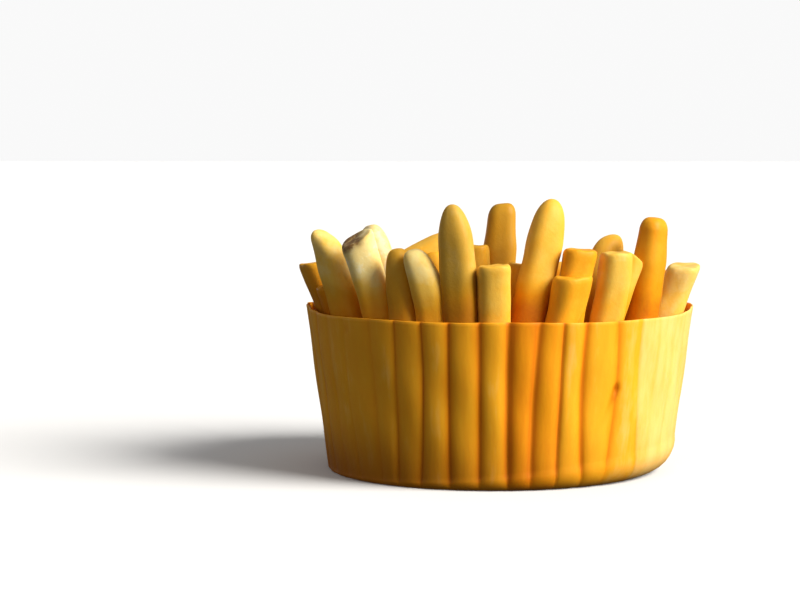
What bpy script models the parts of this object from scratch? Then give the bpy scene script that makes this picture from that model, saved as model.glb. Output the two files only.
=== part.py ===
"""French fries standing on end in a round paper tub whose wall is pressed into flutes by them.

Units are metres. +Z is up, the origin is the centre of the tub's foot, and -Y is the shown front.
An azimuth is measured round the tub from the front, in degrees, positive towards +X.
"""

import collections
import math
import random

import bmesh
import bpy
from mathutils import Matrix, Vector

MM = 0.001

# The tub.
RIM_RADIUS = 57.6 * MM
FOOT_RADIUS = 51.3 * MM
WALL_HEIGHT = 47.2 * MM
PAPER = 0.6 * MM
FLUTE_COUNT = 40
FLUTE_DEPTH = 1.0 * MM
# The fold round the foot is tight on the left and slack on the right.
TIGHT_CORNER = 0.8 * MM
SLACK_CORNER = 9.5 * MM
CORNER_SWING = 1.5
CORNER_STEPS = 3
WALL_STEPS = 3
# Where points stand across one flute, groove to groove, and how far each is pressed in.
FLUTE_SHARES = (0.0, 0.2, 0.5, 0.8)
FLUTE_PRESS = (1.0, 0.28, 0.0, 0.28)
# Azimuths of the grooves that show from the front, at the rim, half-way down and at the foot.
SHOWN_GROOVES = (
    (-60.0, -60.0, -58.0),
    (-51.0, -52.0, -50.0),
    (-40.0, -40.0, -40.0),
    (-31.0, -32.0, -33.5),
    (-22.5, -23.0, -25.5),
    (-14.3, -15.0, -15.5),
    (-5.5, -5.7, -6.2),
    (2.7, 2.5, 2.8),
    (11.4, 10.0, 9.9),
    (18.5, 18.2, 18.2),
    (25.5, 25.2, 27.5),
    (36.0, 37.2, 35.0),
    (44.5, 46.0, 49.0),
)
GROOVE_WANDER = 0.8
GROOVE_SEED = 3

# The fries. Their place is where their axis crosses the plane of the rim.
WALL_GAP = 0.5 * MM
FRY_FOOT_DEPTH = 10.0 * MM
FRY_CORNER = 0.24
# From the shaft to the tip: how far under the tip a ring stands, and its share of the width.
TIP_RINGS = {
    "round": ((13.0 * MM, 1.0), (6.0 * MM, 0.86), (1.8 * MM, 0.58), (0.0, 0.25)),
    "blunt": ((12.0 * MM, 1.0), (4.0 * MM, 0.86), (1.0 * MM, 0.58), (0.0, 0.36)),
    "stub": ((13.0 * MM, 1.0), (2.6 * MM, 0.8), (0.6 * MM, 0.64), (0.0, 0.45)),
    "cut": ((1.6 * MM, 1.0), (0.0, 0.8)),
}
FRY_FIELDS = "x y rise lean_right lean_back width depth twist end slant nod length"
Fry = collections.namedtuple("Fry", FRY_FIELDS, defaults=(0.0, 0.0, None))

# The outer ring of fries, from the left edge of the front round to its right edge:
# azimuth, rise over the rim in mm, lean to the right and to the back in degrees,
# width and depth in mm, twist in degrees, the form of the tip, and how far its end slopes
# across its width and its depth, in degrees.
SHOWN_RING = (
    (-76.0, 14.6, -22.0, 2.0, 9.8, 8.5, 10.0, "cut", -8.0, -14.0),
    (-66.5, 9.0, -20.0, -3.0, 9.0, 8.0, -8.0, "cut"),
    (-60.0, 23.4, -16.5, -2.0, 11.0, 8.4, 12.0, "stub", -38.0),
    (-42.8, 23.0, -17.0, -4.0, 10.2, 9.2, 45.0, "cut", 12.0, 14.0),
    (-31.0, 20.2, -7.0, -2.0, 8.8, 8.2, 0.0, "blunt"),
    (-21.5, 20.0, -17.0, -9.0, 9.8, 8.6, 18.0, "blunt"),
    (-12.2, 32.7, -4.4, -5.0, 10.3, 8.6, -6.0, "round"),
    (-1.7, 16.1, 0.0, -8.0, 9.6, 8.6, 8.0, "cut", 3.0, -7.0),
    (21.0, 13.0, 11.0, -8.0, 11.0, 9.0, 18.0, "cut", 9.0, -7.0),
    (36.0, 19.3, 8.0, -7.0, 9.2, 8.2, -16.0, "cut", 7.0, -7.0),
    (51.5, 28.6, 7.5, -3.0, 10.6, 8.4, 0.0, "stub"),
    (62.0, -1.0, 13.0, -5.0, 7.2, 8.4, 0.0, "cut"),
    (76.0, 14.2, 21.0, -3.0, 11.0, 9.4, 6.0, "cut", 9.0, -20.0),
)
# Fries that show behind the ring, placed by x and y in mm, and then as above.
SHOWN_INNER = (
    Fry(-52.6, -34.0, 22.7, 60.5, 0.0, 9.2, 8.4, 0.0, "blunt", 0.0, 0.0, 26.0),
    Fry(-6.5, -35.0, 20.8, -2.0, 0.0, 8.8, 8.4, 0.0, "cut"),
    Fry(-1.0, -29.0, 32.4, 3.0, 3.0, 9.8, 8.6, 6.0, "stub", 9.0),
    Fry(7.8, -44.5, 34.0, 12.0, 2.0, 10.6, 9.0, 10.0, "round"),
    Fry(18.6, -45.4, 20.2, 11.0, 0.0, 9.6, 8.6, -12.0, "cut", 7.0),
    Fry(26.4, -27.0, 23.2, 13.0, 4.0, 12.0, 8.4, 0.0, "blunt", 24.0),
    Fry(-30.2, -34.0, 26.4, -14.0, 0.0, 9.2, 7.6, 0.0, "blunt"),
    Fry(31.6, -38.0, 17.8, 18.0, -2.0, 6.8, 6.4, 12.0, "cut", -22.0),
    Fry(-16.0, -38.0, 19.0, -8.0, 0.0, 8.6, 8.2, 15.0, "blunt"),
    Fry(4.6, -36.0, 15.6, 6.0, 0.0, 8.0, 8.0, 0.0, "cut"),
)
# Taller fries further back. Each is hidden from the front by one of the shown ones,
# given by its place in SHOWN_RING or SHOWN_INNER, so many times as far from the eye.
FRONT_EYE = Vector((0.0, -658.0, 95.0))
HIDDEN_BEHIND_RING = ((2, 1.05), (3, 1.10), (6, 1.13), (10, 1.07))
HIDDEN_BEHIND_INNER = ((3, 1.14), (2, 1.06), (5, 1.09))
HIDDEN_SHORTER = 1.5
# The rest of the ring and the filling inside it.
UNSEEN_SEED = 7
UNSEEN_RISE = (2.5, 12.0)
UNSEEN_WIDTH = (8.2, 9.8)
UNSEEN_FLATNESS = 0.5
UNSEEN_LEAN_JITTER = 4.0
RING_LEAN_OUT = 11.0
RING_LEAN_SIDE = 8.0
RING_TWIST = 12.0
FILL_PITCH = 9.6
FILL_PLACE_JITTER = 0.6
FILL_LEAN_OUT = 13.0
FILL_TWIST = 45.0
FILL_EDGE = 1.5
# A filling fry stands at least this share of a pitch from every placed one.
FILL_CLEARANCE = 0.78

# The core under the fries.
CORE_STEPS = 40
CORE_FLOOR = PAPER + 0.4 * MM
CORE_CHAMFER = 7.0 * MM
CORE_SHOULDER = WALL_HEIGHT - 6.0 * MM
CORE_CROWN = WALL_HEIGHT - 3.0 * MM
CORE_CROWN_SHARE = 0.7
CORE_GAP = 0.5 * MM

WALL_SLOPE = (RIM_RADIUS - FOOT_RADIUS) / WALL_HEIGHT


def clear_scene():
    for obj in list(bpy.data.objects):
        bpy.data.objects.remove(obj, do_unlink=True)


def material(name, colour, roughness):
    """A plain material with the part's colour and roughness."""
    made = bpy.data.materials.new(name)
    made.use_nodes = True
    shader = made.node_tree.nodes["Principled BSDF"]
    shader.inputs["Base Color"].default_value = (*colour, 1.0)
    shader.inputs["Roughness"].default_value = roughness
    shader.inputs["Metallic"].default_value = 0.0
    return made


def mesh_object(name, bm, collection):
    """A new object that holds the bmesh's faces."""
    mesh = bpy.data.meshes.new(name)
    bm.to_mesh(mesh)
    bm.free()
    obj = bpy.data.objects.new(name, mesh)
    collection.objects.link(obj)
    return obj


def groove_azimuths():
    """The azimuth of every groove, in degrees, at the rim, half-way down and at the foot."""
    draw = random.Random(GROOVE_SEED)
    grooves = list(SHOWN_GROOVES)
    first, last = grooves[0][0] + 360.0, grooves[-1][0]
    unseen = FLUTE_COUNT - len(grooves)
    pitch = (first - last) / (unseen + 1)
    for k in range(1, unseen + 1):
        middle = last + k * pitch
        grooves.append(tuple(middle + draw.uniform(-GROOVE_WANDER, GROOVE_WANDER) for _ in range(3)))
    return grooves


def groove_at(groove, height_share):
    """A groove's azimuth at a share of the wall's height, from 0 at the foot to 1 at the rim."""
    rim, middle, foot = groove
    if height_share > 0.5:
        return middle + (rim - middle) * (2.0 * height_share - 1.0)
    return foot + (middle - foot) * 2.0 * height_share


def flute_azimuth(slot, grooves, height_share):
    """The azimuth, in radians, of one point of the ring. Slots count the points round the ring."""
    flute, step = divmod(slot, len(FLUTE_SHARES))
    near = groove_at(grooves[flute], height_share)
    far = groove_at(grooves[(flute + 1) % FLUTE_COUNT], height_share)
    if far < near:
        far += 360.0
    return math.radians(near + (far - near) * FLUTE_SHARES[step])


def corner_radius(azimuth):
    """How round the fold at the foot is, at an azimuth."""
    swing = (0.5 + 0.5 * math.sin(azimuth)) ** CORNER_SWING
    return TIGHT_CORNER + (SLACK_CORNER - TIGHT_CORNER) * swing


def tub_stations():
    """The rings of the tub's outer face, from the flat foot up: (share of the fold, share of the wall)."""
    corner = [(k / CORNER_STEPS, 0.0) for k in range(CORNER_STEPS + 1)]
    wall = [(1.0, k / WALL_STEPS) for k in range(1, WALL_STEPS + 1)]
    return corner + wall


def tub_point(slot, station, grooves):
    """A point of the tub's outer face: an arc from the flat foot, and the wall straight on from it."""
    fold_share, wall_share = station
    lean = math.atan(WALL_SLOPE)
    fold = corner_radius(flute_azimuth(slot, grooves, 0.0))
    turn = (math.pi / 2 + lean) * fold_share
    arc_height = fold * (1.0 - math.cos(turn))
    height = arc_height + (WALL_HEIGHT - arc_height) * wall_share
    radius = FOOT_RADIUS - fold * math.tan((math.pi / 2 - lean) / 2) + fold * math.sin(turn)
    radius += (height - arc_height) * WALL_SLOPE
    radius -= FLUTE_DEPTH * fold_share * FLUTE_PRESS[slot % len(FLUTE_PRESS)]
    azimuth = flute_azimuth(slot, grooves, height / WALL_HEIGHT)
    return Vector((radius * math.sin(azimuth), -radius * math.cos(azimuth), height))


def build_tub(collection, paper):
    """One sheet: a flat disc whose edge is drawn up, fold and wall, and pressed into flutes."""
    grooves = groove_azimuths()
    slots = FLUTE_COUNT * len(FLUTE_SHARES)
    bm = bmesh.new()
    slot_of = bm.verts.layers.int.new("slot")
    bmesh.ops.create_circle(bm, cap_ends=True, cap_tris=True, segments=slots, radius=FOOT_RADIUS)
    edge = [v for v in bm.verts if v.co.length > FOOT_RADIUS / 2]
    for v in edge:
        v[slot_of] = round(math.atan2(v.co.x, -v.co.y) / math.tau * slots) % slots
        v.co = tub_point(v[slot_of], tub_stations()[0], grooves)
    ring = [e for e in bm.edges if e.is_boundary]
    for station in tub_stations()[1:]:
        made = bmesh.ops.extrude_edge_only(bm, edges=ring)["geom"]
        for v in made:
            if isinstance(v, bmesh.types.BMVert):
                v.co = tub_point(v[slot_of], station, grooves)
        ring = [e for e in made if isinstance(e, bmesh.types.BMEdge) and e.is_boundary]
    bmesh.ops.recalc_face_normals(bm, faces=bm.faces)
    bm.normal_update()
    if min(bm.faces, key=lambda f: f.calc_center_median().z).normal.z > 0:
        bmesh.ops.reverse_faces(bm, faces=bm.faces)
    tub = mesh_object("carton", bm, collection)
    tub.data.materials.append(paper)
    wall = tub.modifiers.new("paper", "SOLIDIFY")
    wall.thickness = PAPER
    wall.offset = -1.0
    wall.use_even_offset = True
    return tub


def turned_core(collection):
    """The packed fries inside the tub, as one turned solid under those that show."""
    inside = PAPER + FLUTE_DEPTH + CORE_GAP
    low_radius = FOOT_RADIUS + WALL_SLOPE * (CORE_FLOOR + CORE_CHAMFER) - inside
    shoulder_radius = FOOT_RADIUS + WALL_SLOPE * CORE_SHOULDER - inside
    profile = (
        (0.0, CORE_CROWN),
        (shoulder_radius * CORE_CROWN_SHARE, CORE_CROWN),
        (shoulder_radius, CORE_SHOULDER),
        (low_radius, CORE_FLOOR + CORE_CHAMFER),
        (low_radius - CORE_CHAMFER, CORE_FLOOR),
        (0.0, CORE_FLOOR),
    )
    bm = bmesh.new()
    points = [bm.verts.new((radius, 0.0, height)) for radius, height in profile]
    for low, high in zip(points, points[1:]):
        bm.edges.new((low, high))
    core = mesh_object("fries", bm, collection)
    turn = core.modifiers.new("turn", "SCREW")
    turn.steps = turn.render_steps = CORE_STEPS
    turn.use_merge_vertices = True
    turn.merge_threshold = 0.0001
    return core


def half_reach(width, depth, twist):
    """How far a twisted fry's rounded-square section reaches from its axis along its depth."""
    turn = math.radians(twist)
    square = (width * abs(math.sin(turn)) + depth * abs(math.cos(turn))) / 2
    corner = FRY_CORNER * min(width, depth)
    rounding = corner * (abs(math.sin(turn)) + abs(math.cos(turn)) - 1.0)
    return square - rounding


def ring_fry(azimuth, rise, lean_right, lean_back, width, depth, twist, end, slant=0.0, nod=0.0):
    """A fry that stands against the wall, clear of the grooves' inner side."""
    turn = math.radians(azimuth)
    lean_out = math.tan(math.radians(lean_right)) * math.sin(turn)
    lean_out -= math.tan(math.radians(lean_back)) * math.cos(turn)
    room = (RIM_RADIUS - PAPER - FLUTE_DEPTH - WALL_GAP) / MM
    reach = half_reach(width, depth, twist) * math.hypot(1.0, lean_out)
    undercut = max(0.0, WALL_SLOPE - lean_out) * FRY_FOOT_DEPTH / MM
    radius = room - reach - undercut
    x, y = radius * math.sin(turn), -radius * math.cos(turn)
    return Fry(x, y, rise, lean_right, lean_back, width, depth, twist, end, slant, nod)


def leaning_out(azimuth, lean_out, lean_side):
    """Leans to the right and back, in degrees, of a fry that leans outwards and sideways."""
    turn = math.radians(azimuth)
    out, side = math.tan(math.radians(lean_out)), math.tan(math.radians(lean_side))
    right = out * math.sin(turn) + side * math.cos(turn)
    back = -out * math.cos(turn) + side * math.sin(turn)
    return math.degrees(math.atan(right)), math.degrees(math.atan(back))


def unseen_form(draw):
    """The rise, width and depth in mm and the form of the tip of a fry that the photograph hides."""
    width = draw.uniform(*UNSEEN_WIDTH)
    return draw.uniform(*UNSEEN_RISE), width, width - UNSEEN_FLATNESS, draw.choice(("blunt", "cut"))


def unseen_ring(draw):
    """The ring of fries goes on round the sides and the back, one behind each flute."""
    start, end = SHOWN_RING[-1][0], SHOWN_RING[0][0] + 360.0
    count = round((end - start) / (360.0 / FLUTE_COUNT)) - 1
    fries = []
    for k in range(1, count + 1):
        azimuth = start + (end - start) * k / (count + 1)
        lean_out = RING_LEAN_OUT + draw.uniform(-UNSEEN_LEAN_JITTER, UNSEEN_LEAN_JITTER)
        right, back = leaning_out(azimuth, lean_out, draw.uniform(-RING_LEAN_SIDE, RING_LEAN_SIDE))
        rise, width, depth, tip = unseen_form(draw)
        twist = draw.uniform(-RING_TWIST, RING_TWIST)
        fries.append(ring_fry(azimuth, rise, right, back, width, depth, twist, tip))
    return fries


def fill_fry(draw, x, y):
    """A filling fry near x and y, leaning out the more, the further out it stands."""
    x += draw.uniform(-FILL_PLACE_JITTER, FILL_PLACE_JITTER)
    y += draw.uniform(-FILL_PLACE_JITTER, FILL_PLACE_JITTER)
    lean_out = FILL_LEAN_OUT * math.hypot(x, y) / (RIM_RADIUS / MM)
    lean_out += draw.uniform(-UNSEEN_LEAN_JITTER, UNSEEN_LEAN_JITTER)
    lean_side = draw.uniform(-UNSEEN_LEAN_JITTER, UNSEEN_LEAN_JITTER)
    right, back = leaning_out(math.degrees(math.atan2(x, -y)), lean_out, lean_side)
    rise, width, depth, tip = unseen_form(draw)
    return Fry(x, y, rise, right, back, width, depth, draw.uniform(0.0, FILL_TWIST), tip)


def filling(draw, placed):
    """The fries inside the ring, on a staggered grid, where no placed fry stands already."""
    fries = []
    reach = int(RIM_RADIUS / MM / FILL_PITCH) + 1
    edge = RIM_RADIUS / MM - FILL_EDGE * FILL_PITCH
    for row in range(-reach, reach + 1):
        for column in range(-reach, reach + 1):
            x = (column + 0.5 * (row % 2)) * FILL_PITCH
            fry = fill_fry(draw, x, row * FILL_PITCH * math.sqrt(0.75))
            near = min(math.hypot(fry.x - other.x, fry.y - other.y) for other in placed)
            if math.hypot(fry.x, fry.y) < edge and near > FILL_CLEARANCE * FILL_PITCH:
                fries.append(fry)
    return fries


def lean_vector(fry):
    """The fry's direction, as the way it goes for each mm of height."""
    return Vector((math.tan(math.radians(fry.lean_right)), math.tan(math.radians(fry.lean_back)), 1.0))


def hidden_behind(fry, ratio):
    """A fry further back, whose outline the given one covers from the front."""
    rim = WALL_HEIGHT / MM
    base = Vector((fry.x, fry.y, rim))
    tip = base + lean_vector(fry) * fry.rise
    far_base, far_tip = (FRONT_EYE + (point - FRONT_EYE) * ratio for point in (base, tip))
    lean = (far_tip - far_base) / (far_tip.z - far_base.z)
    at_rim = far_base + lean * (rim - far_base.z)
    right, back = math.degrees(math.atan(lean.x)), math.degrees(math.atan(lean.y))
    rise = far_tip.z - rim - HIDDEN_SHORTER
    return Fry(at_rim.x, at_rim.y, rise, right, back, fry.width, fry.depth, fry.twist, fry.end)


def all_fries():
    draw = random.Random(UNSEEN_SEED)
    ring = [ring_fry(*row) for row in SHOWN_RING]
    placed = ring + list(SHOWN_INNER)
    placed += [hidden_behind(ring[k], ratio) for k, ratio in HIDDEN_BEHIND_RING]
    placed += [hidden_behind(SHOWN_INNER[k], ratio) for k, ratio in HIDDEN_BEHIND_INNER]
    placed += unseen_ring(draw)
    return placed + filling(draw, placed)


def fry_matrix(fry):
    """The fry's own frame: its origin where the axis crosses the rim's plane, +Z up the fry."""
    axis = lean_vector(fry).normalized()
    outward = Vector((fry.x, fry.y, 0.0))
    side = outward.cross(Vector((0.0, 0.0, 1.0))).cross(axis).cross(axis).normalized()
    frame = Matrix((side, axis.cross(side), axis)).transposed().to_4x4()
    place = Matrix.Translation((fry.x * MM, fry.y * MM, WALL_HEIGHT))
    return place @ frame @ Matrix.Rotation(math.radians(fry.twist), 4, "Z")


def draw_in(bm, scale, height):
    """The top face is drawn on up to a height, scaled about the fry's axis."""
    top = max(bm.faces, key=lambda f: f.calc_center_median().z)
    extruded = bmesh.ops.extrude_face_region(bm, geom=[top])["geom"]
    bmesh.ops.delete(bm, geom=[top], context="FACES_ONLY")
    for v in extruded:
        if isinstance(v, bmesh.types.BMVert):
            v.co = Vector((v.co.x * scale, v.co.y * scale, height))


def build_fry(fry, collection):
    """A cut stick of potato: a box with bevelled long edges, drawn in towards its tip."""
    matrix = fry_matrix(fry)
    length_up = fry.rise * MM / matrix.col[2].z
    rings = TIP_RINGS[fry.end]
    shaft_top = length_up - rings[0][0]
    shaft_foot = length_up - fry.length * MM if fry.length else -FRY_FOOT_DEPTH
    size = Vector((fry.width * MM, fry.depth * MM, shaft_top - shaft_foot))
    bm = bmesh.new()
    bmesh.ops.create_cube(bm, size=1.0)
    bmesh.ops.scale(bm, vec=size, verts=bm.verts)
    bmesh.ops.translate(bm, vec=(0.0, 0.0, shaft_foot + size.z / 2), verts=bm.verts)
    upright = [e for e in bm.edges if abs(e.verts[0].co.z - e.verts[1].co.z) > size.z / 2]
    corner = FRY_CORNER * min(size.x, size.y)
    bmesh.ops.bevel(bm, geom=upright, offset=corner, segments=1, affect="EDGES")
    for (under, share), (_, share_before) in zip(rings[1:], rings):
        draw_in(bm, share / share_before, length_up - under)
    slope_across, slope_back = math.tan(math.radians(fry.slant)), math.tan(math.radians(fry.nod))
    for v in bm.verts:
        if v.co.z > shaft_foot + size.z / 2:
            v.co.z += v.co.x * slope_across + v.co.y * slope_back
    bmesh.ops.transform(bm, matrix=matrix, verts=bm.verts)
    bmesh.ops.recalc_face_normals(bm, faces=bm.faces)
    return mesh_object("fry", bm, collection)


def apply_modifiers(obj):
    graph = bpy.context.evaluated_depsgraph_get()
    old = obj.data
    obj.data = bpy.data.meshes.new_from_object(obj.evaluated_get(graph))
    obj.modifiers.clear()
    bpy.data.meshes.remove(old)


def keep_outer_shell(obj):
    """Fills hollows that the union sealed and drops loose scraps: only the largest shell stays."""
    bm = bmesh.new()
    bm.from_mesh(obj.data)
    left, shells = set(bm.verts), []
    while left:
        shell, todo = set(), [left.pop()]
        while todo:
            vert = todo.pop()
            shell.add(vert)
            for edge in vert.link_edges:
                other = edge.other_vert(vert)
                if other in left:
                    left.remove(other)
                    todo.append(other)
        shells.append(shell)
    shells.sort(key=len)
    for shell in shells[:-1]:
        bmesh.ops.delete(bm, geom=list(shell), context="VERTS")
    bm.to_mesh(obj.data)
    bm.free()


def build_heap(collection, golden):
    """The core with every fry that shows fused on, as one solid."""
    core = turned_core(collection)
    loose = bpy.data.collections.new("loose_fries")
    bpy.context.scene.collection.children.link(loose)
    for fry in all_fries():
        build_fry(fry, loose)
    apply_modifiers(core)
    join = core.modifiers.new("join", "BOOLEAN")
    join.operation = "UNION"
    join.operand_type = "COLLECTION"
    join.collection = loose
    join.solver = "MANIFOLD"
    apply_modifiers(core)
    for obj in list(loose.objects):
        bpy.data.objects.remove(obj, do_unlink=True)
    bpy.data.collections.remove(loose)
    keep_outer_shell(core)
    core.data.materials.clear()
    core.data.materials.append(golden)
    return core


def main():
    clear_scene()
    model = bpy.data.collections.new("fries_in_carton")
    bpy.context.scene.collection.children.link(model)
    paper = material("paper", (0.82, 0.56, 0.13), 0.5)
    golden = material("fried_potato", (0.86, 0.58, 0.16), 0.45)
    build_tub(model, paper)
    build_heap(model, golden)


main()
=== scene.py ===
# %% [markdown]
# French fries standing in a round paper tub
#
# The real thing is a low, round, tapered tub of thin yellow paper, packed tight with thick-cut
# french fries that stand on end. The fries press the paper from inside, so its wall has one
# upright flute for each fry behind it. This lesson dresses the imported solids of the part: it
# keeps their frame, their sizes and their places, and gives each fry and the paper a finer
# form and a finish. Every shape is a surface worked out with numpy, and every finish is built
# from nodes. Lengths in the tables are in millimetres, because a maker thinks in them.

# %% Load the fixed frame and keep its box
import collections
import math
import random

import bpy
import numpy as np
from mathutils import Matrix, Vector


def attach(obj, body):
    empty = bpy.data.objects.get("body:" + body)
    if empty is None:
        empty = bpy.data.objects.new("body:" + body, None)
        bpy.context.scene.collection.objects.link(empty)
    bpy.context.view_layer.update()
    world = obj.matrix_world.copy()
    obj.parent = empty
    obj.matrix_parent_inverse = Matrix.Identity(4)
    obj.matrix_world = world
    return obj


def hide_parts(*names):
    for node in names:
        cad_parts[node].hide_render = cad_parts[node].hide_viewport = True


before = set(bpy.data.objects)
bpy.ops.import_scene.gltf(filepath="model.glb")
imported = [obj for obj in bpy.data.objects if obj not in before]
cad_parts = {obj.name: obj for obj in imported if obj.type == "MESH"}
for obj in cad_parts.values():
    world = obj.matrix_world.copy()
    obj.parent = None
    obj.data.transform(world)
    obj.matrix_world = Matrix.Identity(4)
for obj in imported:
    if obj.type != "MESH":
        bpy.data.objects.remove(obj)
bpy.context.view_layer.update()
MM = 0.001
print("solids:", sorted(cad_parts))

# %% [markdown]
# The camera comes before the pieces. The photograph looks at the tub from the front and a
# little above its rim, through a long lens, with the tub a little right of the middle. The
# numbers below come from matching the tub's rim, foot and walls with the photograph. A camera
# in Blender looks along its own -Z, so its turn is the one that lays -Z along the line of sight.

# %% The camera at the photograph's angle
CAMERA_PLACE = (0.0, -658.31, 94.39)
CAMERA_YAW = -2.5934
CAMERA_PITCH = -3.8570
CAMERA_LENS = 99.11


def aim(thing, direction):
    """Turns an object so that its own -Z lies along a direction."""
    thing.rotation_mode = "QUATERNION"
    thing.rotation_quaternion = Vector(direction).to_track_quat("-Z", "Y")


def compass(turn, climb):
    """A unit vector: turned from +Y towards +X, then raised over the horizon, in degrees."""
    turn, climb = math.radians(turn), math.radians(climb)
    flat = math.cos(climb)
    return Vector((math.sin(turn) * flat, math.cos(turn) * flat, math.sin(climb)))


camera = bpy.data.objects.new("camera", bpy.data.cameras.new("camera"))
bpy.context.scene.collection.objects.link(camera)
camera.location = Vector(CAMERA_PLACE) * MM
aim(camera, compass(CAMERA_YAW, CAMERA_PITCH))
camera.data.lens = CAMERA_LENS
camera.data.sensor_width = 36.0
camera.data.clip_start = 10 * MM
bpy.context.scene.camera = camera
print("camera", round(-CAMERA_PLACE[1]), "mm away, lens", CAMERA_LENS, "mm")

# %% [markdown]
# All pieces here share one pattern: rings of points stacked along a path, with a single point
# to close each end. If every ring has the same number of points, the faces are the same few
# numbers over and over, so they can be worked out once as arrays. A helper turns such a stack
# into faces, and a second one puts points, faces and any painted values into a mesh.


# %% From rings of points to a mesh
def ring_faces(rings, around):
    """Faces of a closed stack. Points go ring by ring, then the first pole, then the last one.

    Between two rings, point k, its neighbour k + 1 and the two over them make one square.
    Each pole makes a fan of triangles with the ring next to it.
    """
    here = np.arange(around)
    after = (here + 1) % around
    low = np.arange(rings - 1)[:, None] * around
    squares = np.stack([low + here, low + after, low + around + after, low + around + here], -1)
    first, last = rings * around, rings * around + 1
    top = (rings - 1) * around
    foot_fan = np.stack([after, here, np.full(around, first)], -1)
    top_fan = np.stack([top + here, top + after, np.full(around, last)], -1)
    return squares.reshape(-1, 4), np.concatenate([foot_fan, top_fan])


def make_piece(name, points, squares, triangles, painted):
    """A smooth mesh object from arrays, in mm, with each painted value kept as an attribute."""
    mesh = bpy.data.meshes.new(name)
    mesh.from_pydata((points * MM).tolist(), [], squares.tolist() + triangles.tolist())
    for label, values in painted.items():
        layer = mesh.attributes.new(label, "FLOAT", "POINT")
        layer.data.foreach_set("value", values.astype(np.float32))
    mesh.shade_smooth()
    mesh.update()
    piece = bpy.data.objects.new(name, mesh)
    bpy.context.scene.collection.objects.link(piece)
    mesh.calc_loop_triangles()
    print(name, "has", len(mesh.loop_triangles), "triangles")
    return piece


# %% [markdown]
# The tub first, because the fries lean on it. On the real tub each groove between two flutes
# wanders a little on its way down, so a groove is given by its azimuth at three heights: at
# the rim, half-way down and at the foot. The azimuth is measured round the tub from the
# front, in degrees, towards +X. Those that the photograph shows are listed, and the rest are
# spread round the back with a small seeded wander, by the same rule as the solids have.

# %% Where the grooves run
RIM_RADIUS = 57.6
FOOT_RADIUS = 51.3
WALL_HEIGHT = 47.2
FLUTE_COUNT = 40
FLUTE_DEPTH = 1.0
GROOVE_WANDER = 0.8
GROOVE_SEED = 3
SHOWN_GROOVES = (
    (-60.0, -60.0, -58.0),
    (-51.0, -52.0, -50.0),
    (-40.0, -40.0, -40.0),
    (-31.0, -32.0, -33.5),
    (-22.5, -23.0, -25.5),
    (-14.3, -15.0, -15.5),
    (-5.5, -5.7, -6.2),
    (2.7, 2.5, 2.8),
    (11.4, 10.0, 9.9),
    (18.5, 18.2, 18.2),
    (25.5, 25.2, 27.5),
    (36.0, 37.2, 35.0),
    (44.5, 46.0, 49.0),
)
WALL_SLOPE = (RIM_RADIUS - FOOT_RADIUS) / WALL_HEIGHT


def groove_table():
    """Every groove's azimuth at the rim, half-way down and at the foot, once round the tub."""
    draw = random.Random(GROOVE_SEED)
    grooves = list(SHOWN_GROOVES)
    first, last = grooves[0][0] + 360.0, grooves[-1][0]
    unseen = FLUTE_COUNT - len(grooves)
    pitch = (first - last) / (unseen + 1)
    for k in range(1, unseen + 1):
        middle = last + k * pitch
        grooves.append(tuple(middle + draw.uniform(-GROOVE_WANDER, GROOVE_WANDER) for _ in range(3)))
    grooves.append(tuple(azimuth + 360.0 for azimuth in grooves[0]))
    return np.array(grooves)


GROOVES = groove_table()


def flute_azimuth(turn, share):
    """The azimuth, in radians, of a place counted in flutes, at a share of the wall's height.

    Each groove is the parabola through its three azimuths. A place between two grooves keeps
    its share of the way from the one to the other.
    """
    rim, middle, foot = GROOVES.T
    flute = np.floor(turn).astype(int)

    def groove(k):
        return (
            rim[k] * share * (2 * share - 1)
            + middle[k] * 4 * share * (1 - share)
            + foot[k] * (1 - share) * (1 - 2 * share)
        )

    return np.radians(groove(flute) + (groove(flute + 1) - groove(flute)) * (turn - flute))


print(len(GROOVES) - 1, "grooves, the first at", GROOVES[0][0], "degrees from the front")

# %% [markdown]
# Across one flute the paper is drawn tight over a round-shouldered fry and pinched in a sharp
# groove beside it. A power of the distance from the crest does both: flat on the crest, steep
# in the groove. The crest isn't always in the middle, because a fry may stand turned. Two
# small dimples show: one on the right of the front, where a crease runs down from it, and one
# under the rim on the left.

# %% The relief of the wall
GROOVE_SHARPNESS = 2.3
CREST_WANDER = 0.1
PINCH_AZIMUTH = 37.0
PINCH_HEIGHT = 28.0
# Each dimple: azimuth, height, depth as a share of the flutes' depth, half width and half height.
DIMPLES = ((PINCH_AZIMUTH, PINCH_HEIGHT, 0.45, 0.8, 1.4), (-50.0, 43.6, 0.35, 0.7, 0.9))
CREASE_END = (30.5, 15.0)
CREASE_DEPTH = 0.35
CREASE_WIDTH = 1.3
CREASE_FADE = 0.7
RELIEF_SEED = 17
relief_draw = np.random.default_rng(RELIEF_SEED)
CRESTS = 0.5 + relief_draw.uniform(-CREST_WANDER, CREST_WANDER, FLUTE_COUNT)
SHARPNESS_OF_SHOWN = (0.3, 0.3, 0.4, 0.7, 0.8, 0.95, 1.0, 1.15, 1.0, 0.9, 1.05, 0.8, 0.35)
SHARPNESS_OF_REST = (0.5, 0.9)
SHARPNESS_OF_FAINT = 0.25
SHARPNESS_AFTER_FAINT = 0.5
TONE_OF_SHOWN = (0.0, 0.0, 0.0, 0.05, 0.0, 0.1, 0.0, 0.7, 0.45, 0.0, 0.05, -0.1, -0.35)
TONE_OF_REST = (-0.15, 0.15)
TONE_OF_FAINT = -0.45
TONES_AFTER_FAINT = (-0.35, -0.18)
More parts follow.
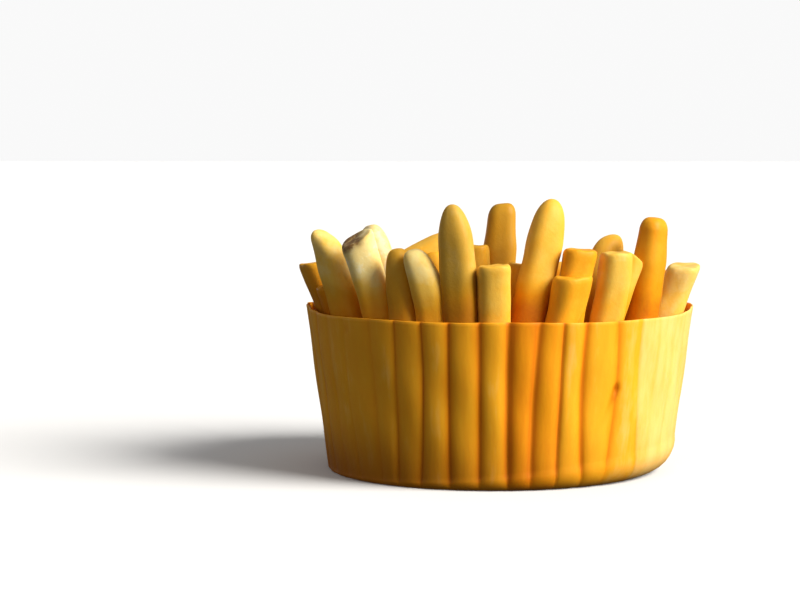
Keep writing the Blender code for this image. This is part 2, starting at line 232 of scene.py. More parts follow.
# The flutes on the right, just past the shown ones, are faint and pale.
FAINT_COUNT = 4
FAINT_FROM = len(SHOWN_GROOVES)
FAINT_TO = FAINT_FROM + FAINT_COUNT
SHARPNESS = relief_draw.uniform(*SHARPNESS_OF_REST, FLUTE_COUNT + 1)
SHARPNESS[:FAINT_FROM] = SHARPNESS_OF_SHOWN
SHARPNESS[FAINT_FROM:FAINT_TO] = SHARPNESS_OF_FAINT
SHARPNESS[FAINT_TO] = SHARPNESS_AFTER_FAINT
SHARPNESS[-1] = SHARPNESS[0]
FLUTE_TONES = relief_draw.uniform(*TONE_OF_REST, FLUTE_COUNT)
FLUTE_TONES[:FAINT_FROM] = TONE_OF_SHOWN
FLUTE_TONES[FAINT_FROM:FAINT_TO] = TONE_OF_FAINT
FLUTE_TONES[FAINT_TO:][: len(TONES_AFTER_FAINT)] = TONES_AFTER_FAINT


def bell(distance):
    """One at no distance, falling smoothly to nothing: e to the minus distance squared."""
    return np.exp(-(distance**2))


def smooth(share):
    """An S curve from 0 to 1, level at both ends."""
    return share * share * (3 - 2 * share)


def press(turn):
    """How far the wall is pressed in across a flute: 1 in a sharp groove and 0 on the crest."""
    flute = np.floor(turn).astype(int) % FLUTE_COUNT
    part = (turn - np.floor(turn)) ** (np.log(0.5) / np.log(CRESTS[flute]))
    sharp = SHARPNESS[flute] + (SHARPNESS[flute + 1] - SHARPNESS[flute]) * part
    return np.abs(2 * part - 1) ** GROOVE_SHARPNESS * sharp


def flute_tone(turn):
    """How deep the paper's colour is on a flute, fading into the next one over the groove."""
    flute = np.floor(turn).astype(int)
    part = turn - flute
    own, before = FLUTE_TONES[flute % FLUTE_COUNT], FLUTE_TONES[(flute - 1) % FLUTE_COUNT]
    after = FLUTE_TONES[(flute + 1) % FLUTE_COUNT]
    near_start, near_end = np.clip(0.5 - part * 5, 0, 1), np.clip(part * 5 - 4.5, 0, 1)
    return own + (before - own) * near_start + (after - own) * near_end


def pinch(azimuth, height):
    """The dimples, and the crease that runs from one: bells of the distance from each, in mm."""
    dimples = 0.0
    for side, level, depth, wide, high in DIMPLES:
        across = (azimuth - math.radians(side)) * RIM_RADIUS
        dimples = dimples + depth * bell(np.hypot(across / wide, (height - level) / high))
    across = (azimuth - math.radians(PINCH_AZIMUTH)) * RIM_RADIUS
    down = PINCH_HEIGHT - height
    run = math.radians(CREASE_END[0] - PINCH_AZIMUTH) * RIM_RADIUS
    drop = PINCH_HEIGHT - CREASE_END[1]
    along = np.clip((across * run + down * drop) / (run**2 + drop**2), 0.0, 1.0)
    crease = bell(np.hypot(across - along * run, down - along * drop) / CREASE_WIDTH)
    return dimples + CREASE_DEPTH * crease * (1 - CREASE_FADE * along)


print("flute depth", FLUTE_DEPTH, "mm, dimples at", [dimple[0] for dimple in DIMPLES], "degrees")

# %% [markdown]
# The tub is one sheet: a flat foot, a fold, and a wall that leans out. The fold is tight on
# the left and slack on the right, as the photograph shows. The outer face is a function of two
# numbers, the place round the tub counted in flutes, and the way up from the foot's edge. The
# inner face is the same face moved in along its own normal by the paper's thickness, and the
# rim joins the two with a half round.

# %% The paper tub as one closed surface
PAPER = 0.45
TIGHT_FOLD = 0.8
SLACK_FOLD = 9.5
FOLD_SWING = 1.5
FOLD_ROWS = 8
WALL_ROWS = 56
PER_FLUTE = 16
RIM_WANDER = 0.25
RIM_LIFT = 1.7
RIM_LIFT_POWER = 12
RIM_ARC = (45.0, 90.0, 135.0)
WALL_SWELL = 0.16
FOOT_SHARES = (0.3, 0.65)
# Painted shade: the paper is darkened towards its foot, most on the left, where it lies in shade.
FOOT_SHADE_ON_LEFT = 0.9
FOOT_SHADE_ON_RIGHT = 0.1
FOOT_SHADE_HEIGHT = 22.0


def outer_face(fold_share, wall_share, turn):
    """Radius, azimuth and height of the outer face, and how deep it is pressed there.

    The fold is an arc that starts level and ends along the wall. From there the radius grows
    with the height by the wall's slope, and the flutes' relief is taken off it.
    """
    lean = math.atan(WALL_SLOPE)
    start = flute_azimuth(turn, np.zeros_like(turn))
    fold = TIGHT_FOLD + (SLACK_FOLD - TIGHT_FOLD) * (0.5 + 0.5 * np.sin(start)) ** FOLD_SWING
    bend = (math.pi / 2 + lean) * fold_share
    folded = fold * (1 - np.cos(bend))
    rim_height = WALL_HEIGHT + RIM_WANDER * np.sin(3 * start + 1.0) * np.cos(5 * start)
    rim_height = rim_height + RIM_LIFT * np.sin(start) ** RIM_LIFT_POWER
    height = folded + (rim_height - folded) * wall_share
    radius = FOOT_RADIUS - fold * math.tan((math.pi / 2 - lean) / 2) + fold * np.sin(bend)
    radius = radius + (height - folded) * WALL_SLOPE
    azimuth = flute_azimuth(turn, np.clip(height / WALL_HEIGHT, 0, 1))
    turned = (azimuth + math.pi) % (2 * math.pi) - math.pi
    pressed = fold_share * press(turn) + pinch(turned, height)
    swell = WALL_SWELL * np.sin(height * 0.21 + turn * 2.4) * wall_share * (1 - wall_share) * 4
    return radius - pressed * FLUTE_DEPTH + swell, azimuth, height, pressed


def around(radius, azimuth, height):
    """Points from radius, azimuth and height: the front is -Y, and +X is to its right."""
    x, y = radius * np.sin(azimuth), -radius * np.cos(azimuth)
    return np.stack(np.broadcast_arrays(x, y, height), -1)


def normals_of(grid):
    """The unit normal at each point of a stack of rings, from its neighbours round and up."""
    round_it = np.roll(grid, -1, axis=1) - np.roll(grid, 1, axis=1)
    up_it = np.gradient(grid, axis=0)
    normal = np.cross(round_it, up_it)
    return normal / np.linalg.norm(normal, axis=-1, keepdims=True)


def paper_tub():
    """The sheet's outer face, its rim and its inner face, stacked from the foot's middle."""
    turn = np.arange(FLUTE_COUNT * PER_FLUTE)[None, :] / PER_FLUTE
    fold = np.r_[np.linspace(0, 1, FOLD_ROWS + 1), np.ones(WALL_ROWS)][:, None]
    wall = np.r_[np.zeros(FOLD_ROWS + 1), np.linspace(0, 1, WALL_ROWS + 1)[1:]][:, None]
    radius, azimuth, height, pressed = outer_face(fold + 0 * turn, wall + 0 * turn, turn + 0 * fold)
    outer = around(radius, azimuth, height)
    normal = normals_of(outer)
    inner = (outer - normal * PAPER)[::-1]
    half_turn = np.radians(RIM_ARC)[:, None, None]
    up = np.array([0.0, 0.0, 1.0])
    edge = outer[-1] - normal[-1] * PAPER / 2
    rim = edge + PAPER / 2 * (normal[-1] * np.cos(half_turn) + up * np.sin(half_turn))
    shares = np.array(FOOT_SHARES)[:, None, None]
    foot = outer[:1] * shares
    floor = inner[-1:] * shares[::-1] + np.array([0.0, 0.0, PAPER]) * (1 - shares[::-1])
    stack = np.concatenate([foot, outer, rim, inner, floor])
    poles = np.array([[0.0, 0.0, 0.0], [0.0, 0.0, PAPER]])
    none = np.zeros((len(FOOT_SHARES), turn.size))
    rim_press = np.repeat(pressed[-1:], len(RIM_ARC), axis=0)
    groove = np.concatenate([none, pressed, rim_press, pressed[::-1], none])
    tone = np.broadcast_to(flute_tone(turn), groove.shape)
    inner_side = (0 * none, 0 * pressed, 0.5 + 0 * rim_press, 1 + 0 * pressed, 1 + none)
    inside = np.concatenate(inner_side)
    points = np.concatenate([stack.reshape(-1, 3), poles])
    # Painted shade, deeper towards the foot and on the left of the tub.
    low = np.clip(1 - stack[..., 2] / FOOT_SHADE_HEIGHT, 0, 1)
    share = np.clip(0.5 + 0.5 * stack[..., 0] / FOOT_RADIUS, 0, 1)
    foot_shade = smooth(low) * (FOOT_SHADE_ON_LEFT + (FOOT_SHADE_ON_RIGHT - FOOT_SHADE_ON_LEFT) * share)
    painted = {
        "groove": np.r_[groove.ravel(), 0.0, 0.0],
        "tone": np.r_[tone.ravel(), 0.0, 0.0],
        "inside": np.r_[inside.ravel(), 0.0, 1.0],
        "foot_shade": np.r_[foot_shade.ravel(), FOOT_SHADE_ON_RIGHT, FOOT_SHADE_ON_RIGHT],
    }
    squares, fans = ring_faces(len(stack), turn.size)
    return make_piece("paper_tub", points, squares, fans, painted)


tub = paper_tub()
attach(tub, "root")
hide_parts("carton")

# %% [markdown]
# Now the fries. They stand on end in the tub, so each is placed by where its axis crosses the
# level of the rim, and by how far it leans to the right and to the back. Those that the
# photograph shows are listed one by one, with the same numbers as the solids have. A fry of the
# ring has its azimuth in place of x and y, because the wall says how far out it stands. The end
# of a fry slopes across its width by the slant and across its depth by the nod, in degrees.
#
# The last four columns are for looks alone: how far the fry bows sideways in mm, how pale it is
# at its tip and low down, from a deep gold at 0 to a straw colour at 1, and how dull it is. The
# deep gold low down is painted shade among the packed fries, and the dullness is partly a fry's
# own browner colour and partly painted shade.

# %% The fries that the photograph shows
FRY_FOOT_DEPTH = 10.0
WALL_GAP = 0.5
SOLID_PAPER = 0.6
FRY_CORNER = 0.24
Fry = collections.namedtuple(
    "Fry",
    "x y rise right back width depth twist end slant nod length bow tone low dull",
    defaults=(0.0, 0.0, None, 0.0, None, None, 0.0),
)
SHOWN_RING = (
    (-76.0, 14.6, -22.0, 2.0, 9.8, 8.5, 10.0, "cut", -8.0, -14.0, 0.0, 0.45, 0.2, 0.3),
    (-66.5, 9.0, -20.0, -3.0, 9.0, 8.0, -8.0, "cut", 0.0, 0.0, 0.0, 0.4, 0.2, 0.1),
    (-60.0, 23.4, -16.5, -2.0, 11.0, 8.4, 12.0, "stub", -38.0, 0.0, 0.3, 0.82, 0.4, 0.1),
    (-42.8, 23.0, -17.0, -4.0, 10.2, 9.2, 45.0, "cut", 12.0, 14.0, 0.3, 0.94, 0.42, 0.0),
    (-31.0, 20.2, -7.0, -2.0, 8.8, 8.2, 0.0, "blunt", 0.0, 0.0, 0.0, 0.56, 0.35, 0.45),
    (-21.5, 20.0, -17.0, -9.0, 9.8, 8.6, 18.0, "blunt", 0.0, 0.0, 1.2, 0.88, 0.45, 0.0),
    (-12.2, 32.7, -4.4, -5.0, 10.3, 8.6, -6.0, "round", 0.0, 0.0, 0.3, 0.76, 0.05, 0.6),
    (-1.7, 16.1, 0.0, -8.0, 9.6, 8.6, 8.0, "cut", 3.0, -7.0, 0.0, 0.7, 0.62, 0.1),
    (21.0, 13.0, 11.0, -8.0, 11.0, 9.0, 18.0, "cut", 9.0, -7.0, 0.0, 0.5, 0.42, 0.0),
    (36.0, 19.3, 8.0, -7.0, 9.2, 8.2, -16.0, "cut", 7.0, -7.0, 0.4, 0.74, 0.58, 0.0),
    (51.5, 28.6, 7.5, -3.0, 10.6, 8.4, 0.0, "stub", 0.0, 0.0, 0.2, 0.36, 0.12, 0.15),
    (62.0, -1.0, 13.0, -5.0, 7.2, 8.4, 0.0, "cut", 0.0, 0.0, 0.0, 0.6, 0.5, 0.0),
    (76.0, 14.2, 21.0, -3.0, 11.0, 9.4, 6.0, "cut", 9.0, -20.0, 0.0, 0.84, 0.76, 0.0),
)
SHOWN_INNER = (
    Fry(-52.6, -34.0, 22.7, 60.5, 0.0, 9.2, 8.4, 0.0, "blunt", 0.0, 0.0, 26.0, 0.0, 0.62, 0.45),
    Fry(-6.5, -35.0, 20.8, -2.0, 0.0, 8.8, 8.4, 0.0, "cut", tone=0.6, low=0.3, dull=0.3),
    Fry(-1.0, -29.0, 32.4, 3.0, 3.0, 9.8, 8.6, 6.0, "stub", 9.0, tone=0.55, low=0.25, dull=0.8),
    Fry(7.8, -44.5, 34.0, 12.0, 2.0, 10.6, 9.0, 10.0, "round", tone=0.64, low=0.0, dull=0.15),
    Fry(18.6, -45.4, 20.2, 11.0, 0.0, 9.6, 8.6, -12.0, "cut", 7.0, tone=0.4, low=0.36),
    Fry(26.4, -27.0, 23.2, 13.0, 4.0, 12.0, 8.4, 0.0, "blunt", 24.0, tone=0.62, low=0.4, dull=0.15),
    Fry(-30.2, -34.0, 26.4, -14.0, 0.0, 9.2, 7.6, 0.0, "blunt", tone=0.98, low=0.4, dull=0.35),
    Fry(31.6, -38.0, 17.8, 18.0, -2.0, 6.8, 6.4, 12.0, "cut", -22.0, tone=0.7, low=0.4),
    Fry(-16.0, -38.0, 19.0, -8.0, 0.0, 8.6, 8.2, 15.0, "blunt", tone=0.5, low=0.3, dull=0.2),
    Fry(4.6, -36.0, 15.6, 6.0, 0.0, 8.0, 8.0, 0.0, "cut", tone=0.6, low=0.3),
)


def half_reach(width, depth, twist):
    """How far a turned fry's rounded-square section reaches from its axis along its depth."""
    turn = math.radians(twist)
    square = (width * abs(math.sin(turn)) + depth * abs(math.cos(turn))) / 2
    corner = FRY_CORNER * min(width, depth)
    return square - corner * (abs(math.sin(turn)) + abs(math.cos(turn)) - 1.0)


def ring_fry(azimuth, rise, right, back, width, depth, twist, end, slant=0.0, nod=0.0, *looks):
    """A fry that stands against the wall, clear of the grooves' inner side."""
    turn = math.radians(azimuth)
    lean_out = math.tan(math.radians(right)) * math.sin(turn)
    lean_out -= math.tan(math.radians(back)) * math.cos(turn)
    room = RIM_RADIUS - SOLID_PAPER - FLUTE_DEPTH - WALL_GAP
    reach = half_reach(width, depth, twist) * math.hypot(1.0, lean_out)
    radius = room - reach - max(0.0, WALL_SLOPE - lean_out) * FRY_FOOT_DEPTH
    x, y = radius * math.sin(turn), -radius * math.cos(turn)
    return Fry(x, y, rise, right, back, width, depth, twist, end, slant, nod, None, *looks)


front_ring = [ring_fry(*row) for row in SHOWN_RING]
print(len(front_ring), "fries in the front of the ring and", len(SHOWN_INNER), "behind them")

# %% [markdown]
# The photograph shows only the front, but the tub is packed full all round. The ring goes on
# with one fry behind each flute, and the inside is filled on a staggered grid, where a fry
# leans out the more, the further out it stands. Some taller ones stand where the shown ones
# hide them from the front. All draws come in the same order from the same seed as in the
# solids, so each fine fry stands where its solid does.

# %% The fries round the back and inside
FRONT_EYE = Vector((0.0, -658.0, 95.0))
HIDDEN_BEHIND_RING = ((2, 1.05), (3, 1.10), (6, 1.13), (10, 1.07))
HIDDEN_BEHIND_INNER = ((3, 1.14), (2, 1.06), (5, 1.09))
HIDDEN_SHORTER = 1.5
UNSEEN_SEED = 7
UNSEEN_RISE = (2.5, 12.0)
UNSEEN_WIDTH = (8.2, 9.8)
UNSEEN_FLATNESS = 0.5
UNSEEN_LEAN_JITTER = 4.0
RING_LEAN_OUT = 11.0
RING_LEAN_SIDE = 8.0
RING_TWIST = 12.0
FILL_PITCH = 9.6
FILL_PLACE_JITTER = 0.6
FILL_LEAN_OUT = 13.0
FILL_TWIST = 45.0
FILL_EDGE = 1.5
FILL_CLEARANCE = 0.78


def lean_vector(fry):
    """The fry's direction, as the way it goes for each mm of height."""
    return Vector((math.tan(math.radians(fry.right)), math.tan(math.radians(fry.back)), 1.0))


def hidden_behind(fry, ratio):
    """A fry so many times as far from the eye, whose outline the given one covers."""
    base = Vector((fry.x, fry.y, WALL_HEIGHT))
    tip = base + lean_vector(fry) * fry.rise
    far_base, far_tip = (FRONT_EYE + (point - FRONT_EYE) * ratio for point in (base, tip))
    lean = (far_tip - far_base) / (far_tip.z - far_base.z)
    at_rim = far_base + lean * (WALL_HEIGHT - far_base.z)
    right, back = math.degrees(math.atan(lean.x)), math.degrees(math.atan(lean.y))
    rise = far_tip.z - WALL_HEIGHT - HIDDEN_SHORTER
    return Fry(at_rim.x, at_rim.y, rise, right, back, fry.width, fry.depth, fry.twist, fry.end)


def leaning_out(azimuth, lean_out, lean_side):
    """Leans to the right and back, in degrees, of a fry that leans outwards and sideways."""
    turn = math.radians(azimuth)
    out, side = math.tan(math.radians(lean_out)), math.tan(math.radians(lean_side))
    right = out * math.sin(turn) + side * math.cos(turn)
    back = -out * math.cos(turn) + side * math.sin(turn)
    return math.degrees(math.atan(right)), math.degrees(math.atan(back))


def unseen_form(draw):
    """The rise, width, depth and tip of a fry that the photograph hides."""
    width = draw.uniform(*UNSEEN_WIDTH)
    return draw.uniform(*UNSEEN_RISE), width, width - UNSEEN_FLATNESS, draw.choice(("blunt", "cut"))


def unseen_ring(draw):
    """The ring goes on from its right end, round the back, to its left end."""
    start, end = SHOWN_RING[-1][0], SHOWN_RING[0][0] + 360.0
    count = round((end - start) / (360.0 / FLUTE_COUNT)) - 1
    fries = []
    for k in range(1, count + 1):
        azimuth = start + (end - start) * k / (count + 1)
        lean_out = RING_LEAN_OUT + draw.uniform(-UNSEEN_LEAN_JITTER, UNSEEN_LEAN_JITTER)
        right, back = leaning_out(azimuth, lean_out, draw.uniform(-RING_LEAN_SIDE, RING_LEAN_SIDE))
        rise, width, depth, tip = unseen_form(draw)
        twist = draw.uniform(-RING_TWIST, RING_TWIST)
        fries.append(ring_fry(azimuth, rise, right, back, width, depth, twist, tip))
    return fries


def fill_fry(draw, x, y):
    """A filling fry near x and y, leaning out the more, the further out it stands."""
    x += draw.uniform(-FILL_PLACE_JITTER, FILL_PLACE_JITTER)
    y += draw.uniform(-FILL_PLACE_JITTER, FILL_PLACE_JITTER)
    lean_out = FILL_LEAN_OUT * math.hypot(x, y) / RIM_RADIUS
    lean_out += draw.uniform(-UNSEEN_LEAN_JITTER, UNSEEN_LEAN_JITTER)
    lean_side = draw.uniform(-UNSEEN_LEAN_JITTER, UNSEEN_LEAN_JITTER)
    right, back = leaning_out(math.degrees(math.atan2(x, -y)), lean_out, lean_side)
    rise, width, depth, tip = unseen_form(draw)
    return Fry(x, y, rise, right, back, width, depth, draw.uniform(0.0, FILL_TWIST), tip)


def filling(draw, placed):
    """The fries inside the ring, where no placed fry stands already."""
    fries = []
    reach = int(RIM_RADIUS / FILL_PITCH) + 1
    edge = RIM_RADIUS - FILL_EDGE * FILL_PITCH
    for row in range(-reach, reach + 1):
        for column in range(-reach, reach + 1):
            x = (column + 0.5 * (row % 2)) * FILL_PITCH
            fry = fill_fry(draw, x, row * FILL_PITCH * math.sqrt(0.75))
            near = min(math.hypot(fry.x - other.x, fry.y - other.y) for other in placed)
            if math.hypot(fry.x, fry.y) < edge and near > FILL_CLEARANCE * FILL_PITCH:
                fries.append(fry)
    return fries


draw = random.Random(UNSEEN_SEED)
hidden = [hidden_behind(front_ring[k], ratio) for k, ratio in HIDDEN_BEHIND_RING]
hidden += [hidden_behind(SHOWN_INNER[k], ratio) for k, ratio in HIDDEN_BEHIND_INNER]
standing = front_ring + list(SHOWN_INNER) + hidden + unseen_ring(draw)
inside = filling(draw, standing)
behind = len(standing) - len(front_ring) - len(SHOWN_INNER)
print(behind, "more in the ring and behind,", len(inside), "inside")

# %% [markdown]
# A fry is a stick cut square from a potato. Frying rounds its long edges and dries its faces,
# so they sink a little between the edges. Its section is a superellipse, a curve between a
# circle and a square. Towards the tip the section shrinks along a second superellipse: a long,
# low power gives a finger's round tip, and a short, high power gives a square cut end with
# soft edges. Each fry also gets a slight swell along its length and a bow, all by smooth waves.

# %% One fry as a surface
SQUARENESS = 2.4
TIP_ROUNDNESS = 0.25
FACE_SINK = 0.035
# Each wave of a fry's surface: its size, how often it runs round, and its turn for each mm up.
WAVES = ((0.02, 2, 0.11), (0.015, 3, -0.19), (0.02, 0, 0.23), (0.012, 0, 0.61))
SIDE_BOW = 0.3
END_DISH = 0.35
END_LUMPS = 0.12
# For each kind of tip: how long it is, the power across it, the power along it, and how much
# the fry has narrowed before it.
TIPS = {
    "round": (14.0, 2.2, 2.0, 0.0),
    "blunt": (13.0, 3.0, 2.4, 0.0),
    "stub": (3.5, 4.0, 2.0, 0.24),
    "cut": (2.2, 12.0, 2.0, 0.0),
}
NARROWING_SPAN = 13.0
TIP_CROWDING = 2.2
BROWNED_SPAN = 1.3


def fry_frame(fry):
    """The fry's own directions: its width, its depth and up along it, as rows of an array."""
    axis = lean_vector(fry).normalized()
    outward = Vector((fry.x, fry.y, 0.0))
    side = outward.cross(Vector((0.0, 0.0, 1.0))).cross(axis).cross(axis).normalized()
    back = axis.cross(side)
    turn = math.radians(fry.twist)
    wide = side * math.cos(turn) + back * math.sin(turn)
    return np.array([wide, axis.cross(wide), axis])


def tip_path(kind, length, rows):
    """How far under the tip each ring stands, and its share of the full width.

    The rings crowd where the curve turns fastest. The share to one power and the distance
    from the shaft to the other power always add up to one, which is a superellipse.
    """
    reach, across, along, _ = TIPS[kind]
    reach = min(reach, 0.6 * length)
    share = 1 - (np.arange(rows) / rows) ** TIP_CROWDING
    under = reach * (1 - (1 - share**across) ** (1 / along))
    return under, share, reach


def fry_surface(fry, looks, around_count, shaft_rows, tip_rows):
    """Points of one fry in the tub's frame, with its painted values.

    Radius of the section at an angle: (|cos / half width| ^ n + |sin / half depth| ^ n) to
    the power -1 / n. It is scaled along the tip, waved a little, and laid along the axis.
    """
    is_cut = fry.end == "cut"
    axes = fry_frame(fry)
    top = fry.rise / axes[2, 2]
    foot = top - fry.length if fry.length else -FRY_FOOT_DEPTH
    under, share, reach = tip_path(fry.end, top - foot, tip_rows)
    height = np.r_[np.linspace(foot, top - reach, shaft_rows), (top - under)[1:]][:, None]
    scale = np.r_[np.ones(shaft_rows), share[1:]][:, None]
    scale = scale * (1 - TIPS[fry.end][3] * np.clip((height - top) / NARROWING_SPAN + 1, 0, 1))
    angle = (np.arange(around_count) / around_count * 2 * math.pi)[None, :]
    roundness = 0.0 if is_cut else np.clip((height - top) / reach + 1, 0, 1)
    power = SQUARENESS - TIP_ROUNDNESS * roundness
    half_width, half_depth = fry.width / 2, fry.depth / 2
    wide, deep = np.abs(np.cos(angle)) / half_width, np.abs(np.sin(angle)) / half_depth
    radius = (wide**power + deep**power) ** (-1 / power)
    corner = np.sin(2 * angle) ** 2
    waves = 0.0
    for (size, times, rate), phase in zip(WAVES, looks):
        waves = waves + size * np.sin(times * angle + phase + rate * height)
    radius = radius * (1 + waves - FACE_SINK * (1 - corner)) * scale
    x, y = radius * np.cos(angle), radius * np.sin(angle)
    along = np.clip(height / top, 0, 1)
    slope = x * math.tan(math.radians(fry.slant)) + y * math.tan(math.radians(fry.nod))
    z = height + slope * np.clip(along * 2, 0, 1)
    if is_cut:
        z = z - END_DISH * bell((top - height) / 0.3) * bell(np.hypot(x, y) / (0.6 * half_width))
        lumps = np.sin(1.3 * x + looks[0]) * np.sin(1.1 * y + looks[1])
        z = z + END_LUMPS * lumps * bell((top - height) / 0.8)
    local = np.stack([x, y, z], -1)
    pole_z = top - (END_DISH if is_cut else 0.0)
    poles = np.array([[0.0, 0.0, foot], [0.0, 0.0, pole_z]])
    local = np.concatenate([local.reshape(-1, 3), poles])
    share_up = np.clip(local[:, 2:] / top, 0, 1)
    bowed = np.array([[fry.bow, SIDE_BOW * looks[4], 0.0]]) * 4 * share_up * (1 - share_up)
    points = np.array([fry.x, fry.y, WALL_HEIGHT]) + local @ axes + bowed
    near_end = bell((top - height) / BROWNED_SPAN) * (1.0 if is_cut else 0.3) + 0 * angle
    edge = np.r_[(corner**3 * scale).ravel(), 0.0, 0.0]
    browned = np.r_[near_end.ravel(), 0.0, 0.5]
    return points, edge, browned


print("a fry's section has power", SQUARENESS, "and its faces sink", FACE_SINK * 100, "%")

# %% [markdown]
# Fries of one kind make one piece. All of them have the same number of rings and of points in
# a ring, so the faces of the first, shifted by a fry's worth of points, are those of the next.
# The painted values say how pale and how dull a point is, and whether it lies on a long edge,
# near the end, or in the patch of skin that one fry has kept. A fry is painted deeper gold low
# down, as the shade among the packed fries, and paler towards its tip, as painted light.

# %% The fries of each kind, joined
# The low tones paint the shade low down among the fries, and the tip tones are paler where the light
# falls.
TONES = (0.35, 0.8)
LOW_TONES = (0.1, 0.3)
DULLNESS = (0.0, 0.3)
CLIMB_START = 2.0
CLIMB_SPAN = 12.0
SKIN_FRY = 3
SKIN_REACH = 1.5
SKIN_EDGE = 3.0
PAINTED_LABELS = ("gold", "edge", "browned", "skin", "dull")


def skin_patch(fry, points):
    """Where skin was left: near the sloping end of one fry, on its left part."""
    axes = fry_frame(fry)
    local = (points - np.array([fry.x, fry.y, WALL_HEIGHT])) @ axes.T
    slope = local[:, 0] * math.tan(math.radians(fry.slant))
    slope += local[:, 1] * math.tan(math.radians(fry.nod))
    under = fry.rise / axes[2, 2] - (local[:, 2] - slope)
    return bell(under / SKIN_REACH) * np.clip((SKIN_EDGE - local[:, 0]) / SKIN_EDGE, 0, 1)


def fry_piece(name, fries, around_count, shaft_rows, tip_rows, seed):
    """All fries of one kind as one mesh, each with its own waves, bow and tone."""
    looks = np.random.default_rng(seed)
    squares, fans = ring_faces(shaft_rows + tip_rows - 1, around_count)
    per_fry = (shaft_rows + tip_rows - 1) * around_count + 2
    places = []
    cells = {label: [] for label in PAINTED_LABELS}
    for fry in fries:
        own = looks.uniform(0, 2 * math.pi, 4).tolist() + [looks.uniform(-1, 1)]
        points, edge, browned = fry_surface(fry, own, around_count, shaft_rows, tip_rows)
        tone, low = looks.uniform(*TONES), looks.uniform(*LOW_TONES)
        dull = looks.uniform(*DULLNESS)
        if fry.tone is not None:
            tone, low, dull = fry.tone, fry.low, fry.dull
        # Painted shade and light: deeper gold low down, paler towards the tip.
        climb = np.clip((points[:, 2] - WALL_HEIGHT - CLIMB_START) / CLIMB_SPAN, 0.0, 1.0)
        gold = low + (tone - low) * smooth(climb)
        has_skin = fry is front_ring[SKIN_FRY]
        skin = skin_patch(fry, points) if has_skin else 0 * edge
        places.append(points)
        for label, values in zip(cells, (gold, edge, browned, skin, dull + 0 * edge)):
            cells[label].append(values)
    shift = (np.arange(len(fries)) * per_fry)[:, None, None]
    points = np.concatenate(places)
    painted = {label: np.concatenate(values) for label, values in cells.items()}
    all_squares, all_fans = (squares + shift).reshape(-1, 4), (fans + shift).reshape(-1, 3)
    piece = make_piece(name, points, all_squares, all_fans, painted)
    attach(piece, "root")
    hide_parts("fries")
    return piece


shown = front_ring + list(SHOWN_INNER)
shown_fries = fry_piece("shown_fries", shown, 48, 44, 18, seed=5)
ring_and_tall = fry_piece("ring_fries", standing[len(shown) :], 30, 20, 12, seed=6)
inner_fries = fry_piece("inner_fries", inside, 30, 16, 12, seed=8)

# %% [markdown]
# Looking down between the tips, a full tub shows more ends lower down, and deep gold shade
# under them. Short fries fill the gaps that are wide enough for one. Under them all lies a
# core: one turned solid that stands for the lengths nobody sees, with its top just lumpy
# enough to look like packed ends.

# %% Low fries in the gaps, and the core under all
LOW_PITCH = 4.1
LOW_CLEARANCE = 6.4
LOW_RISE = (-3.5, 0.5)
LOW_WIDTH = (7.0, 8.6)
LOW_TWIST = (0, 45)
# The low fries are painted a deep gold, as the shade low among the tips.
LOW_TONE = (0.05, 0.3)
LOW_LEAN = (-5, 5)
LOW_LENGTH = 9.0
LOW_EDGE = 9.5
LOW_SEED = 21
CORE_AROUND = 96
CORE_FOOT_RINGS = 5
CORE_TOP_RINGS = 40
CORE_GAP = 2.5
CORE_FLOOR = 1.2
CORE_CHAMFER = 8.0
CORE_TOP = WALL_HEIGHT - 8.5
CORE_SHOULDER = 1.5
CORE_LUMPS = 0.8
# The core is painted a deep, dulled gold, as the shade deep under the fries.
CORE_TONE = 0.12
CORE_DULLNESS = 0.3


def low_fries(placed):
    """Short fries on a fine grid, wherever every fry so far stands far enough off."""
    looks = random.Random(LOW_SEED)
    found = []
    steps = int(RIM_RADIUS / LOW_PITCH)
    for row in range(-steps, steps + 1):
        for column in range(-steps, steps + 1):
            x, y = column * LOW_PITCH, row * LOW_PITCH
            near = min(math.hypot(x - f.x, y - f.y) for f in placed + found)
            if math.hypot(x, y) > RIM_RADIUS - LOW_EDGE or near < LOW_CLEARANCE:
                continue
            width, twist = looks.uniform(*LOW_WIDTH), looks.uniform(*LOW_TWIST)
            tone = looks.uniform(*LOW_TONE)
            rise = looks.uniform(*LOW_RISE)
            right, back = looks.uniform(*LOW_LEAN), looks.uniform(*LOW_LEAN)
            fry = Fry(x, y, rise, right, back, width, width, twist, "cut", length=LOW_LENGTH)
            found.append(fry._replace(tone=tone, low=tone))
    return found


